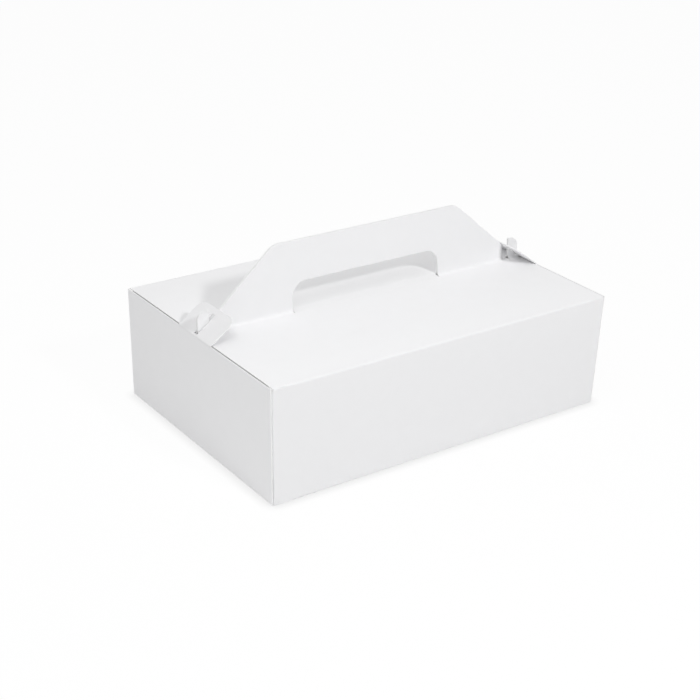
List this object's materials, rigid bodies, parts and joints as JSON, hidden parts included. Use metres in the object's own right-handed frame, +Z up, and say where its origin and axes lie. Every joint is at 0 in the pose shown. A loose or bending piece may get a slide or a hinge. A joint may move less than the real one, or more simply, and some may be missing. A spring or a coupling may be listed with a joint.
{
  "type": "cake carrier box",
  "caption": "Low rectangular white carton with a folded-up carry handle, a hand slot and end tongues hooked over lock ears.",
  "frame": {"origin": "centre of the box's footprint, on the surface it stands on", "axes": "+X along the box to the right end, +Y to the rear wall, +Z up"},
  "size_m": [0.27, 0.18, 0.1283],
  "materials": {
    "white_board": "smooth coated white carton board"
  },
  "bodies": {
    "carton": {"carton": "white_board"},
    "left_tongue": {"left_tongue": "white_board"},
    "right_tongue": {"right_tongue": "white_board"}
  },
  "joints": [
    {"name": "left_tongue_hinge", "type": "hinge", "parent": "carton", "child": "left_tongue", "pos_m": [-0.13465, 0, 0.08], "axis": [0, -1, 0], "range_deg": [0, 135]},
    {"name": "right_tongue_hinge", "type": "hinge", "parent": "carton", "child": "right_tongue", "pos_m": [0.13465, 0, 0.08], "axis": [0, 1, 0], "range_deg": [0, 135]}
  ]
}
